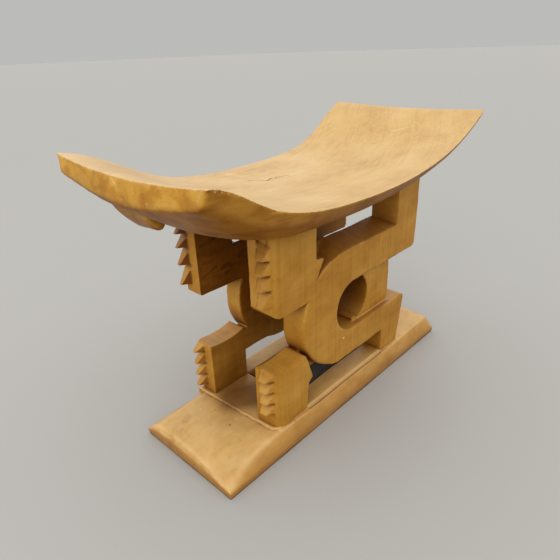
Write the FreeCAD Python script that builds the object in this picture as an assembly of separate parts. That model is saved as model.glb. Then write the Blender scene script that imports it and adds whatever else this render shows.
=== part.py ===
import FreeCAD, Part
import math
import os
from dataclasses import dataclass
from FreeCAD import Vector

# Carved wooden stool with a saddle-shaped seat, two openwork side panels and a flat base board.
# Millimetres. Origin: centre of the base board at floor level. +Z is up, +X runs along the seat
# towards the end without teeth, and the near side panel is on the -Y side.
# The real stool is carved from one block. It is divided here along its carved members, and the
# members meet face to face with no overlap.

# Base board: stations along its length. Each one gives the position along X and then, in Y and Z,
# the near top edge, the crown and the far top edge. The toothed end is worn thinner.
BASE_HALF_WIDTH = 83.0
BASE_LOWER_RIM = 8.0
BASE_BEVEL_BULGE = 1.5
BASE_STATIONS = [
    (-240.0, (-75.0, 11.0), (-5.0, 18.0), (68.0, 16.0)),
    (-236.5, (-73.0, 13.5), (-5.0, 24.0), (61.0, 22.5)),
    (-205.0, (-73.0, 26.0), (-5.0, 30.5), (58.0, 29.0)),
    (-172.0, (-73.5, 31.5), (-8.0, 32.0), (57.0, 31.5)),
    (-105.0, (-77.5, 33.0), (-8.0, 32.0), (57.0, 31.5)),
    (100.0, (-77.5, 33.0), (-8.0, 32.0), (57.0, 31.5)),
    (215.0, (-73.5, 31.5), (-8.0, 32.0), (57.0, 31.5)),
    (235.0, (-71.0, 27.5), (-8.0, 30.0), (57.0, 29.5)),
    (240.0, (-75.0, 12.0), (-8.0, 16.0), (64.0, 15.0)),
]

# Plinth under the side panels, sunk into the board, and the opening through both
PLINTH_FRONT_NEAR_X = -152.5
PLINTH_FRONT_FAR_X = -160.5
PLINTH_BACK_X = 146.0
PLINTH_NEAR_Y = -72.0
PLINTH_FAR_Y = 71.0
PLINTH_SUNK_TO = 15.0
PLINTH_TOP = 35.0
PLINTH_EDGE_ROUND = 0.8
PLINTH_CORNER_CUT = 6.0
OPENING_START_X = -92.0
OPENING_END_X = 80.0
OPENING_HALF_WIDTH = 43.5

# V-groove between the plinth's near side and the board's near bevel, running out at both ends:
# position along X and depth below the plinth's top
GROOVE_STATIONS = [(-100.0, 2.6), (-86.0, 6.5), (78.0, 6.5), (94.0, 2.6)]
GROOVE_PLINTH_SIDE_Y = -72.0
GROOVE_BEVEL_SIDE_Y = -79.5
GROOVE_STEEP_RUN = 0.4
GROOVE_CLEARANCE = 1.0

# Seat: stations along its length. Each one gives the position along X, the height of the near
# edge, the height of the far edge, how far the middle dips below them, and the slab thickness
# at the long edges and in the middle.
SEAT_NEAR_Y = -125.0
SEAT_FAR_Y = 127.0
SEAT_SIDE_LEAN = 9.0
SEAT_SHOULDER_INSET = 34.0
SEAT_SHOULDER_DEPTH = 0.72
SEAT_STATIONS = [
    (-262.0, 373.0, 373.0, 8.0, 21.0, 25.0),
    (-240.0, 366.5, 368.5, 7.5, 21.0, 33.0),
    (-212.0, 351.0, 357.5, 7.0, 20.0, 36.0),
    (-170.0, 332.5, 337.0, 6.0, 19.0, 37.0),
    (-120.0, 322.5, 319.0, 6.0, 17.0, 37.0),
    (-60.0, 318.5, 311.5, 6.0, 14.0, 36.0),
    (0.0, 318.0, 310.5, 6.0, 13.0, 35.0),
    (60.0, 322.0, 312.5, 6.0, 12.0, 34.0),
    (120.0, 331.5, 319.5, 5.0, 12.0, 34.0),
    (170.0, 346.5, 340.5, 4.5, 14.0, 32.0),
    (212.0, 366.0, 368.0, 4.0, 15.0, 27.0),
    (233.0, 378.0, 378.0, 4.0, 15.0, 20.0),
]

# Lug carved under the seat near its toothed end: smooth outline in X and Z at its two ends
LUG_NEAR_Y = 2.0
LUG_FAR_Y = 62.0
LUG_NEAR_OUTLINE = [(-244.0, 340.0), (-240.0, 318.0), (-233.0, 307.0), (-225.0, 303.5),
                    (-219.5, 309.0), (-217.0, 340.0)]
LUG_FAR_OUTLINE = [(-252.0, 345.0), (-239.0, 317.0), (-224.0, 300.0), (-206.0, 289.5),
                   (-196.5, 298.0), (-193.0, 345.0)]

# Side panels, shared
RING_CENTRE_X = -15.0
RING_CENTRE_Z = 151.7
RING_RADIUS = 81.1
RING_BOTTOM = RING_CENTRE_Z - RING_RADIUS
HOLE_RADIUS = 36.2
HOLE_LEFT_CENTRE_X = 7.0
HOLE_RIGHT_CENTRE_X = 17.8
HOLE_CENTRE_Z = 148.0
LOWER_ARM_TOP = HOLE_CENTRE_Z - HOLE_RADIUS
UPPER_ARM_BOTTOM = HOLE_CENTRE_Z + HOLE_RADIUS
SLOT_OUTER_BOTTOM = 232.5
SLOT_INNER_BOTTOM = 243.5
SLOT_OUTER_END_X = 108.0
SLOT_INNER_END_X = 95.0
LOWER_POST_INNER_X = 84.5
LOWER_POST_FOOT_X = 130.0
LOWER_POST_TOP_X = 144.5
WEB_DEPTH = 19.0
WEB_BOTTOM = 77.0
UPPER_WEB_OUTER_TOP = 222.0
FILLER_RECESS = 10.0
ARM_STEP_RUN = 12.0
POST_CORNER_CUT = 5.0
ARM_END_ROUND = 7.0
TOOTH_UNDERCUT = 1.5
TOOTH_ROOT_DEPTH = 3.5
TOOTH_BITE = 5.0
TOOTH_TIP_INSETS = (6.5, 4.0)
FRONT_FACET_RUN = 9.0
FRONT_FACET_DEPTH = 3.0
CUT_MARGIN = 12.0
ABOVE_SEAT = 420.0

# Back of the lower block: dished top, spur leaning over the groove, then straight down
DISH_LOW_X = -120.0
DISH_DEPTH = 2.5
LIP_X = -94.0
LIP_DROP_X = -90.0
LIP_DROP = 5.0
LOWER_SPUR_X = -80.0
LOWER_SPUR_Z = 80.0
UNDER_SPUR_X = -87.0
UNDER_SPUR_Z = 72.0
LOWER_BACK_X = -91.5
LOWER_WEB_START_X = -93.0

# Back of the upper block: fist, scooped up to a spur
SCOOP_SHIFT_X = 10.0
SCOOP_RISE = 23.0
UPPER_SPUR_Z = 234.5
UPPER_SPUR_THICKNESS = 3.5
NECK_BOTTOM_Z = 240.0

# Core around the hole, between the two side panels
CORE_WALL = 6.0
CORE_END_X = 90.0


@dataclass
class SidePanel:
    """Where one side panel lies and where its hand-cut outline differs from the other one."""
    name: str
    outer_y: float
    inner_y: float
    upper_front_top_x: float
    upper_front_low_x: float
    neck_back_x: float
    spur_tip_x: float
    fist_heel_x: float
    upper_block_bottom: float
    upper_block_front_lift: float
    upper_tooth_tips: tuple
    lower_front_x: float
    lower_block_top: float
    lower_tooth_tips: tuple
    front_skew: float
    upper_tooth_strip: tuple
    lower_tooth_strip: tuple
    tooth_reach: float
    top_tooth_reach: float
    post_outer_x: float
    filler_end_x: float
    arm_bottom: float

    def outward(self):
        """+1 when the outer face looks towards +Y, -1 when it looks towards -Y."""
        return math.copysign(1.0, self.outer_y)


NEAR = SidePanel(name="near", outer_y=-72.5, inner_y=-38.0,
                 upper_front_top_x=-146.5, upper_front_low_x=-149.5,
                 neck_back_x=-71.0, spur_tip_x=-57.5, fist_heel_x=-80.5,
                 upper_block_bottom=189.0, upper_block_front_lift=11.0,
                 upper_tooth_tips=(263.0, 246.5, 228.0, 207.5),
                 lower_front_x=-149.0, lower_block_top=113.5,
                 lower_tooth_tips=(106.0, 89.5, 73.0, 57.0),
                 front_skew=3.0, upper_tooth_strip=(13.0, 31.5), lower_tooth_strip=(8.0, 29.0),
                 tooth_reach=11.0, top_tooth_reach=7.0,
                 post_outer_x=165.0, filler_end_x=110.0, arm_bottom=185.0)
FAR = SidePanel(name="far", outer_y=70.5, inner_y=41.0,
                upper_front_top_x=-165.0, upper_front_low_x=-159.0,
                neck_back_x=-101.0, spur_tip_x=-88.0, fist_heel_x=-103.0,
                upper_block_bottom=189.0, upper_block_front_lift=2.0,
                upper_tooth_tips=(269.5, 252.0, 229.5, 203.0),
                lower_front_x=-153.0, lower_block_top=111.0,
                lower_tooth_tips=(100.0, 81.5, 63.5, 46.0),
                front_skew=0.0, upper_tooth_strip=(13.5, 28.5), lower_tooth_strip=(13.0, 28.5),
                tooth_reach=13.0, top_tooth_reach=13.0,
                post_outer_x=146.0, filler_end_x=74.0, arm_bottom=195.0)


def outline_wire(start, steps, y=0.0):
    """Closed outline in an XZ plane. A step is (x, z) for a straight edge, or
    (x_mid, z_mid, x, z) for an arc through the middle point."""
    edges = []
    here = start
    for step in steps + [start]:
        there = step[-2:]
        begin = Vector(here[0], y, here[1])
        end = Vector(there[0], y, there[1])
        if len(step) == 2:
            edges.append(Part.makeLine(begin, end))
        else:
            edges.append(Part.Arc(begin, Vector(step[0], y, step[1]), end).toShape())
        here = there
    return Part.Wire(edges)


def outline_face(start, steps):
    """Flat face inside an outline at Y = 0."""
    return Part.Face(outline_wire(start, steps))


def polygon_wire(points, y):
    """Closed outline with straight sides in an XZ plane."""
    return outline_wire(points[0], points[1:], y)


def plate(face, y_from, y_to):
    """Give an XZ face a thickness between two Y positions."""
    solid = face.extrude(Vector(0, y_to - y_from, 0))
    solid.translate(Vector(0, y_from, 0))
    return solid


def box(x_from, x_to, y_from, y_to, z_from, z_to):
    """Box between two corners, whichever order they come in."""
    low = Vector(min(x_from, x_to), min(y_from, y_to), min(z_from, z_to))
    high = Vector(max(x_from, x_to), max(y_from, y_to), max(z_from, z_to))
    size = high - low
    return Part.makeBox(size.x, size.y, size.z, low)


def seat_section(station, tilt):
    """Cross-section of the seat, square to its curve: dished on top, bellied underneath."""
    x, near_z, far_z, dip, edge_thickness, middle_thickness = station
    down = Vector(math.sin(tilt), 0, -math.cos(tilt))
    near_top = Vector(x, SEAT_NEAR_Y, near_z)
    far_top = Vector(x, SEAT_FAR_Y, far_z)
    middle_top = (near_top + far_top) * 0.5 + down * dip
    middle_low = middle_top + down * middle_thickness
    lean = Vector(0, SEAT_SIDE_LEAN, 0)
    near_low = near_top + down * edge_thickness + lean
    far_low = far_top + down * edge_thickness - lean
    shoulder = Vector(0, SEAT_SHOULDER_INSET, 0)
    near_shoulder = near_top + shoulder + (middle_low - middle_top) * SEAT_SHOULDER_DEPTH \
        + down * dip * SEAT_SHOULDER_DEPTH
    far_shoulder = far_top - shoulder + (middle_low - middle_top) * SEAT_SHOULDER_DEPTH \
        + down * dip * SEAT_SHOULDER_DEPTH
    belly = Part.BSplineCurve()
    belly.interpolate([far_low, far_shoulder, middle_low, near_shoulder, near_low])
    return Part.Wire([
        Part.Arc(near_top, middle_top, far_top).toShape(),
        Part.makeLine(far_top, far_low),
        belly.toShape(),
        Part.makeLine(near_low, near_top),
    ])


def make_seat():
    """Saddle-shaped slab that rises towards both ends."""
    sections = []
    last = len(SEAT_STATIONS) - 1
    for index, station in enumerate(SEAT_STATIONS):
        before = SEAT_STATIONS[max(index - 1, 0)]
        after = SEAT_STATIONS[min(index + 1, last)]
        rise = (after[1] + after[2] - before[1] - before[2]) / 2
        sections.append(seat_section(station, math.atan2(rise, after[0] - before[0])))
    return Part.makeLoft(sections, True, False)


def smooth_wire(points, y):
    """Closed outline in an XZ plane: a smooth curve through the points and a straight top."""
    places = [Vector(x, y, z) for x, z in points]
    curve = Part.BSplineCurve()
    curve.interpolate(places)
    return Part.Wire([curve.toShape(), Part.makeLine(places[-1], places[0])])


def make_seat_lug(seat):
    """Lug standing down from the underside of the seat, deeper at its far end."""
    ends = [smooth_wire(LUG_NEAR_OUTLINE, LUG_NEAR_Y), smooth_wire(LUG_FAR_OUTLINE, LUG_FAR_Y)]
    return below_seat(Part.makeLoft(ends, True, True), seat)


def below_seat(shape, seat):
    """Trim a member to the curved underside of the seat."""
    pieces = shape.cut(seat).Solids
    return min(pieces, key=lambda piece: piece.BoundBox.ZMin)


def base_section(station):
    """Cross-section of the board: flat underneath, upright rims, bulging bevels, crowned top."""
    x, near_edge, crown, far_edge = station

    def at(point):
        return Vector(x, point[0], point[1])

    def bevel_middle(rim, edge):
        outward = math.copysign(BASE_BEVEL_BULGE, rim[0])
        return (rim[0] + edge[0]) / 2 + outward, (rim[1] + edge[1]) / 2 + BASE_BEVEL_BULGE / 2

    near_foot = (-BASE_HALF_WIDTH, 0.0)
    far_foot = (BASE_HALF_WIDTH, 0.0)
    near_rim = (-BASE_HALF_WIDTH, BASE_LOWER_RIM)
    far_rim = (BASE_HALF_WIDTH, BASE_LOWER_RIM)
    return Part.Wire([
        Part.makeLine(at(near_foot), at(far_foot)),
        Part.makeLine(at(far_foot), at(far_rim)),
        Part.Arc(at(far_rim), at(bevel_middle(far_rim, far_edge)), at(far_edge)).toShape(),
        Part.Arc(at(far_edge), at(crown), at(near_edge)).toShape(),
        Part.Arc(at(near_edge), at(bevel_middle(near_rim, near_edge)), at(near_rim)).toShape(),
        Part.makeLine(at(near_rim), at(near_foot)),
    ])


def make_plinth():
    """Low plinth whose front runs slightly askew across the board, its near corner cut off."""
    corners = [(PLINTH_FRONT_NEAR_X, PLINTH_NEAR_Y + PLINTH_CORNER_CUT),
               (PLINTH_FRONT_NEAR_X + PLINTH_CORNER_CUT, PLINTH_NEAR_Y), (PLINTH_BACK_X, PLINTH_NEAR_Y),
               (PLINTH_BACK_X, PLINTH_FAR_Y), (PLINTH_FRONT_FAR_X, PLINTH_FAR_Y)]
    places = [Vector(x, y, PLINTH_SUNK_TO) for x, y in corners]
    plan = Part.Face(Part.makePolygon(places + places[:1]))
    plinth = plan.extrude(Vector(0, 0, PLINTH_TOP - PLINTH_SUNK_TO))
    top_edges = [edge for edge in plinth.Edges if edge.BoundBox.ZMin > PLINTH_TOP - 1.0]
    return plinth.makeFillet(PLINTH_EDGE_ROUND, top_edges)


def make_groove():
    """V-groove along the plinth's near side: steep against the plinth, sloping at the bevel."""
    above = PLINTH_TOP + GROOVE_CLEARANCE
    sections = []
    for x, depth in GROOVE_STATIONS:
        places = [Vector(x, GROOVE_PLINTH_SIDE_Y, above),
                  Vector(x, GROOVE_PLINTH_SIDE_Y - GROOVE_STEEP_RUN, PLINTH_TOP - depth),
                  Vector(x, GROOVE_BEVEL_SIDE_Y, above)]
        sections.append(Part.makePolygon(places + places[:1]))
    return Part.makeLoft(sections, True, True)


def make_base_board():
    """Board with bevelled sides and worn ends, a low plinth, a groove and a through opening."""
    board = Part.makeLoft([base_section(station) for station in BASE_STATIONS], True, True)
    opening = box(OPENING_START_X, OPENING_END_X, -OPENING_HALF_WIDTH, OPENING_HALF_WIDTH,
                  -1.0, PLINTH_TOP + 1.0)
    return board.fuse(make_plinth()).cut(opening).cut(make_groove()).removeSplitter()


def flat_faced(faces):
    """Solid from the corner points of its flat faces."""
    sides = [Part.Face(Part.makePolygon(points + points[:1])) for points in faces]
    return Part.makeSolid(Part.makeShell(sides))


def tooth(strip, front, reach, root_z, tip_z):
    """One saw tooth: a ramp out to the tip and a flat undercut, narrowing towards the tip.
    strip gives the Y of its two sides at the block and of its two sides at the tip, and
    front(y, z) gives the position of the block's front."""
    side_a, side_b, tip_a, tip_b = strip
    foot_z = tip_z - TOOTH_UNDERCUT

    def rib(block_y, tip_y):
        """The back, root, tip, foot and heel of the tooth on one of its sides."""
        return [Vector(front(block_y, root_z) + TOOTH_BITE, block_y, root_z),
                Vector(front(block_y, root_z) + TOOTH_ROOT_DEPTH, block_y, root_z),
                Vector(front(tip_y, tip_z) - reach, tip_y, tip_z),
                Vector(front(block_y, foot_z) + TOOTH_ROOT_DEPTH, block_y, foot_z),
                Vector(front(block_y, foot_z) + TOOTH_BITE, block_y, foot_z)]

    a, b = rib(side_a, tip_a), rib(side_b, tip_b)
    back, root, tip, foot, heel = range(5)
    return flat_faced([
        [a[back], a[root], b[root], b[back]],
        [a[root], a[tip], b[root]],
        [a[tip], b[tip], b[root]],
        [a[tip], a[foot], b[tip]],
        [a[foot], b[foot], b[tip]],
        [a[foot], a[heel], b[heel], b[foot]],
        [a[heel], a[back], b[back], b[heel]],
        [a[root], a[foot], a[tip]],
        [b[root], b[tip], b[foot]],
        [a[back], a[heel], a[foot]],
        [a[back], a[foot], a[root]],
        [b[back], b[foot], b[heel]],
        [b[back], b[root], b[foot]],
    ])


def toothed(block, side, strip, tips, top_z, first_reach, front):
    """A block with a row of saw teeth standing in a shallow channel down its front. strip is how
    far from the panel's inner face the row starts and ends."""
    inner_inset, outer_inset = TOOTH_TIP_INSETS
    places = [strip[0], strip[1], strip[0] + inner_inset, strip[1] - outer_inset]
    strip_y = [side.inner_y + side.outward() * place for place in places]
    reach = first_reach
    root_z = top_z
    solids = []
    for tip_z in tips:
        solids.append(tooth(strip_y, front, reach, root_z, tip_z))
        reach = side.tooth_reach
        root_z = tip_z - TOOTH_UNDERCUT
    ahead = block.BoundBox.XMin - CUT_MARGIN
    channel = outline_face((ahead, root_z), [
        (front(strip_y[0], root_z) + TOOTH_ROOT_DEPTH, root_z),
        (front(strip_y[0], ABOVE_SEAT) + TOOTH_ROOT_DEPTH, ABOVE_SEAT),
        (ahead, ABOVE_SEAT),
    ])
    return block.cut(plate(channel, strip_y[0], strip_y[1])).multiFuse(solids).removeSplitter()


def skew_at(side, y):
    """How far back the askew front of a block lies at one place across the panel."""
    return side.front_skew * (y - side.inner_y) / (side.outer_y - side.inner_y)


def shaped_front(block, side, front_x):
    """Cut the front of a block slightly askew, and its outer front corner to a long facet."""
    low, high = block.BoundBox.ZMin - 1.0, block.BoundBox.ZMax + 1.0
    ahead = front_x - CUT_MARGIN
    outside = side.outer_y + side.outward() * CUT_MARGIN
    facet_y = side.outer_y - side.outward() * FRONT_FACET_DEPTH
    skewed = front_x + skew_at(side, facet_y)
    plan = [(ahead, side.inner_y), (front_x, side.inner_y), (skewed, facet_y),
            (skewed + FRONT_FACET_RUN, side.outer_y), (skewed + FRONT_FACET_RUN, outside),
            (ahead, outside)]
    places = [Vector(x, y, low) for x, y in plan]
    waste = Part.Face(Part.makePolygon(places + places[:1])).extrude(Vector(0, 0, high - low))
    return block.cut(waste)


def make_upper_block(side, seat):
    """Toothed block hanging from the seat, with a small spur at the back."""
    bottom = side.upper_block_bottom
    lift = side.upper_block_front_lift
    chin = bottom + lift
    slope = (side.upper_front_top_x - side.upper_front_low_x) / (ABOVE_SEAT - chin)

    def front(y, z):
        """Position of the leaning, slightly skewed front."""
        return side.upper_front_low_x + max(slope * (z - chin), skew_at(side, y))

    face = outline_face((front(side.inner_y, ABOVE_SEAT), ABOVE_SEAT), [
        (side.upper_front_low_x, chin),
        (side.upper_front_low_x + 0.4 * lift, bottom + 0.4 * lift,
         side.upper_front_low_x + 1.4 * lift, bottom),
        (side.fist_heel_x, bottom),
        (side.fist_heel_x + SCOOP_SHIFT_X, bottom + SCOOP_RISE, side.spur_tip_x, UPPER_SPUR_Z),
        (side.spur_tip_x - 1.0, UPPER_SPUR_Z + UPPER_SPUR_THICKNESS),
        (side.neck_back_x, NECK_BOTTOM_Z),
        (side.neck_back_x, ABOVE_SEAT),
    ])
    block = shaped_front(plate(face, side.outer_y, side.inner_y), side, side.upper_front_low_x)
    tips = side.upper_tooth_tips
    first_root = tips[0] + (tips[0] - tips[1])
    block = toothed(block, side, side.upper_tooth_strip, tips, first_root, side.top_tooth_reach, front)
    return below_seat(block, seat)


def make_lower_block(side):
    """Toothed block standing on the plinth, with a dished top and a small spur at the back."""
    front = side.lower_front_x
    top = side.lower_block_top
    face = outline_face((front, PLINTH_TOP), [
        (front, top),
        (DISH_LOW_X, top - DISH_DEPTH, LIP_X, top + DISH_DEPTH),
        (LIP_DROP_X, top - LIP_DROP),
        (LOWER_SPUR_X, LOWER_SPUR_Z),
        (LOWER_SPUR_X, WEB_BOTTOM),
        (UNDER_SPUR_X, UNDER_SPUR_Z),
        (LOWER_BACK_X, PLINTH_TOP),
    ])
    block = shaped_front(plate(face, side.outer_y, side.inner_y), side, front)
    web_y = side.inner_y + side.outward() * WEB_DEPTH
    block = block.cut(box(LOWER_WEB_START_X, 0.0, side.inner_y, web_y, PLINTH_TOP, WEB_BOTTOM))

    def skewed_front(y, z):
        return front + skew_at(side, y)

    return toothed(block, side, side.lower_tooth_strip, side.lower_tooth_tips, top - 1.0,
                   side.tooth_reach, skewed_front)


def ring_and_arms_outline(side, y, slot_bottom, slot_end_x):
    """Outline of the C-shaped ring with its arms and posts in one XZ plane."""
    ring_left = RING_CENTRE_X - RING_RADIUS
    eighth = math.sqrt(0.5)
    shoulder_x = RING_CENTRE_X - RING_RADIUS * eighth
    shoulder_z = RING_CENTRE_Z + (slot_bottom - RING_CENTRE_Z) * eighth
    return outline_wire((slot_end_x, ABOVE_SEAT), [
        (slot_end_x, slot_bottom),
        (RING_CENTRE_X, slot_bottom),
        (shoulder_x, shoulder_z, ring_left, RING_CENTRE_Z),
        (shoulder_x, RING_CENTRE_Z - RING_RADIUS * eighth, RING_CENTRE_X, RING_BOTTOM),
        (LOWER_POST_INNER_X, RING_BOTTOM),
        (LOWER_POST_INNER_X, PLINTH_TOP),
        (LOWER_POST_FOOT_X, PLINTH_TOP),
        (LOWER_POST_TOP_X - 0.2 * ARM_END_ROUND, LOWER_ARM_TOP - ARM_END_ROUND),
        (LOWER_POST_TOP_X - 0.35 * ARM_END_ROUND, LOWER_ARM_TOP - 0.3 * ARM_END_ROUND,
         LOWER_POST_TOP_X - ARM_END_ROUND, LOWER_ARM_TOP),
        (HOLE_LEFT_CENTRE_X, LOWER_ARM_TOP),
        (HOLE_LEFT_CENTRE_X - HOLE_RADIUS, HOLE_CENTRE_Z, HOLE_LEFT_CENTRE_X, UPPER_ARM_BOTTOM),
        (side.filler_end_x, UPPER_ARM_BOTTOM),
        (side.filler_end_x + ARM_STEP_RUN, side.arm_bottom),
        (side.post_outer_x - POST_CORNER_CUT, side.arm_bottom),
        (side.post_outer_x, side.arm_bottom + POST_CORNER_CUT),
        (side.post_outer_x, ABOVE_SEAT),
    ], y)


def make_ring_and_arms(side, seat, upper_block, lower_block):
    """C-shaped ring with an upper arm and post up to the seat and a lower arm and post down.
    The slot over the upper arm is wider at the outer face than at the inner one."""
    faces = [ring_and_arms_outline(side, side.outer_y, SLOT_OUTER_BOTTOM, SLOT_OUTER_END_X),
             ring_and_arms_outline(side, side.inner_y, SLOT_INNER_BOTTOM, SLOT_INNER_END_X)]
    solid = Part.makeLoft(faces, True, True)
    solid = solid.fuse(webs(side)).removeSplitter()
    solid = solid.cut(upper_block).cut(lower_block)
    return below_seat(solid, seat)


def webs(side):
    """Wood left standing behind the grooves that separate the ring from the two blocks."""
    web_y = side.inner_y + side.outward() * WEB_DEPTH
    start_x = side.fist_heel_x - 2.0
    bottom = side.upper_block_bottom
    upper_ends = [
        polygon_wire([(start_x, bottom), (RING_CENTRE_X, bottom),
                      (RING_CENTRE_X, SLOT_INNER_BOTTOM), (start_x, SLOT_INNER_BOTTOM)],
                     side.inner_y),
        polygon_wire([(start_x, bottom), (RING_CENTRE_X, bottom),
                      (RING_CENTRE_X, SLOT_OUTER_BOTTOM), (start_x, UPPER_WEB_OUTER_TOP)], web_y),
    ]
    upper = Part.makeLoft(upper_ends, True, True)
    lower = box(LOWER_WEB_START_X, RING_CENTRE_X, side.inner_y, web_y, WEB_BOTTOM, side.lower_block_top)
    return [upper, lower]


def make_core():
    """Wood left around the hole between the two side panels, bored through with it."""
    outer_radius = HOLE_RADIUS + CORE_WALL
    top = HOLE_CENTRE_Z + outer_radius
    bottom = HOLE_CENTRE_Z - outer_radius
    outside = outline_face((CORE_END_X, top), [
        (CORE_END_X, bottom),
        (HOLE_LEFT_CENTRE_X, bottom),
        (HOLE_LEFT_CENTRE_X - outer_radius, HOLE_CENTRE_Z, HOLE_LEFT_CENTRE_X, top),
    ])
    hole = outline_face((HOLE_RIGHT_CENTRE_X, UPPER_ARM_BOTTOM), [
        (HOLE_RIGHT_CENTRE_X + HOLE_RADIUS, HOLE_CENTRE_Z, HOLE_RIGHT_CENTRE_X, LOWER_ARM_TOP),
        (HOLE_LEFT_CENTRE_X, LOWER_ARM_TOP),
        (HOLE_LEFT_CENTRE_X - HOLE_RADIUS, HOLE_CENTRE_Z, HOLE_LEFT_CENTRE_X, UPPER_ARM_BOTTOM),
    ])
    return plate(outside.cut(hole).Faces[0], NEAR.inner_y, FAR.inner_y)


def make_filler(side):
    """Block closing the mouth of the C, set back from the outer face and hollowed by the hole."""
    face = outline_face((HOLE_RIGHT_CENTRE_X, UPPER_ARM_BOTTOM), [
        (HOLE_RIGHT_CENTRE_X + HOLE_RADIUS, HOLE_CENTRE_Z, HOLE_RIGHT_CENTRE_X, LOWER_ARM_TOP),
        (side.filler_end_x - 2.0, LOWER_ARM_TOP),
        (side.filler_end_x + 2.0, HOLE_CENTRE_Z, side.filler_end_x - 2.0, UPPER_ARM_BOTTOM),
    ])
    return plate(face, side.outer_y - side.outward() * FILLER_RECESS, side.inner_y)


def export(name, shape):
    """Write one member as a STEP file named after its node."""
    shape.exportStep("parts/" + name + ".step")


def main():
    os.makedirs("parts", exist_ok=True)
    seat = make_seat()
    export("seat", seat)
    export("seat_lug", make_seat_lug(seat))
    export("base_board", make_base_board())
    export("bored_core", make_core())
    for side in (NEAR, FAR):
        upper_block = make_upper_block(side, seat)
        lower_block = make_lower_block(side)
        ring = make_ring_and_arms(side, seat, upper_block, lower_block)
        export(side.name + "_upper_block", upper_block)
        export(side.name + "_lower_block", lower_block)
        export(side.name + "_ring", ring)
        export(side.name + "_filler", make_filler(side))


main()
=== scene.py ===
import functools
import itertools
import math
from dataclasses import dataclass

import bmesh
import bpy
import numpy as np
from mathutils import Matrix, Vector
from mathutils.bvhtree import BVHTree
from mathutils.kdtree import KDTree


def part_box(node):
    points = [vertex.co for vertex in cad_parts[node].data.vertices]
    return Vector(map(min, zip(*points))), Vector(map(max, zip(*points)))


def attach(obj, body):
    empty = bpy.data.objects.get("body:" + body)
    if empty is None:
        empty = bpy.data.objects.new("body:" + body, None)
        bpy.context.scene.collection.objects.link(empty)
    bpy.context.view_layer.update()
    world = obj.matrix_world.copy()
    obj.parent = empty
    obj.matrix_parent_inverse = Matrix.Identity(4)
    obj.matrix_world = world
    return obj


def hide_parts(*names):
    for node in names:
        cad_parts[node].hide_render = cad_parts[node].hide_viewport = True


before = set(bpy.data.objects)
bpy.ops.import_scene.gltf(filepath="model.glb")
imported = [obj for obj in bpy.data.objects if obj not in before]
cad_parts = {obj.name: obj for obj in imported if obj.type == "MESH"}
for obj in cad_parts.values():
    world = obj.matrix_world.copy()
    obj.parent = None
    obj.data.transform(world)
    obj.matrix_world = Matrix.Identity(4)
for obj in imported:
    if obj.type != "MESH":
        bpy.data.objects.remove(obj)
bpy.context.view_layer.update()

# Carved wooden stool. Every CAD member is replaced by a carved copy of itself: remeshed finely, its
# edges worn round, its faces tooled, and given wood whose figure runs through all of the members as
# it does through one block. Metres, in the frame of the CAD.

MM = 0.001
UP = Vector((0, 0, 1))
DOWN = Vector((0, 0, -1))
TO_TOOTHED_END = Vector((-1, 0, 0))
TO_NEAR_SIDE = Vector((0, -1, 0))
TO_FAR_SIDE = Vector((0, 1, 0))

# A member is lengthened by this much into the neighbours it grows out of, so that no seam shows.
# The faces that move lie within the gap of the neighbour and look towards it.
OVERLAP = 5 * MM
CONTACT_GAP = 1.5 * MM
CONTACT_FACING = 0.35
WELD = 0.01 * MM

# Points near a sharp edge of the shape are drawn onto it, so that it stays a clean line. The reach is
# in voxels. Edges left shorter than a sliver, which is a share of the reach, are dissolved.
SHARP_ANGLE = math.radians(25)
EDGE_STEP = 0.4 * MM
EDGE_REACH = 1.3
SLIVER = 0.2

# Shading breaks where faces meet at more than this angle
CREASE_ANGLE = math.radians(40)


# ---------------------------------------------------------------- smooth random fields

# Odd numbers and shifts that scatter neighbouring cells far apart
CELL_SCATTER = (73856093, 19349663, 83492791)
SEED_SCATTER = 2654435761
MIXERS = ((15, 2246822519), (13, 3266489917))
LAST_SHIFT = 16
ALL_BITS = 0xFFFFFFFF
HALF_OF_BITS = 0x7FFFFFFF

# How far the middle of a scallop may lie from the middle of its cell, and a distance beyond all cells
SCALLOP_SHIFT = 0.4
BEYOND_CELLS = 9.0


def hashed(cells, seed):
    """One repeatable random number between -1 and 1 for every whole-numbered cell."""
    along, across, up = (cells[:, axis] * CELL_SCATTER[axis] for axis in range(3))
    mixed = (along ^ across ^ up ^ (seed * SEED_SCATTER)) & ALL_BITS
    for shift, multiplier in MIXERS:
        mixed = ((mixed ^ (mixed >> shift)) * multiplier) & ALL_BITS
    return (mixed ^ (mixed >> LAST_SHIFT)) / HALF_OF_BITS - 1.0


def noise(points, size, seed):
    """Smooth field between -1 and 1. size is the length of a bump, or one length for each axis."""
    scaled = points / size
    cells = np.floor(scaled).astype(np.int64)
    part = scaled - cells
    ease = part * part * (3 - 2 * part)
    field = np.zeros(len(points))
    for corner in itertools.product((0, 1), repeat=3):
        weight = np.prod(np.where(corner, ease, 1 - ease), axis=1)
        field += weight * hashed(cells + np.array(corner), seed)
    return field


def scallops(points, size, seed):
    """Shallow hollows side by side, as a gouge leaves them: 0 in a hollow, 1 on the ridges."""
    scaled = points / size
    cells = np.floor(scaled).astype(np.int64)
    nearest = np.full(len(points), BEYOND_CELLS)
    for corner in itertools.product((-1, 0, 1), repeat=3):
        cell = cells + np.array(corner)
        shift = np.stack([hashed(cell, seed + axis) for axis in range(3)], axis=1)
        centre = cell + 0.5 + SCALLOP_SHIFT * shift
        nearest = np.minimum(nearest, ((scaled - centre) ** 2).sum(axis=1))
    return np.minimum(nearest, 1.0)


def ramp(values, start, end):
    """0 before start, 1 after end, eased in between. start may be the larger one."""
    part = np.clip((values - start) / (end - start), 0, 1)
    return part * part * (3 - 2 * part)


def blend(low, high, share):
    """From low, where share is 0, to high, where it is 1."""
    return low + (high - low) * share


# ---------------------------------------------------------------- meshes

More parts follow.
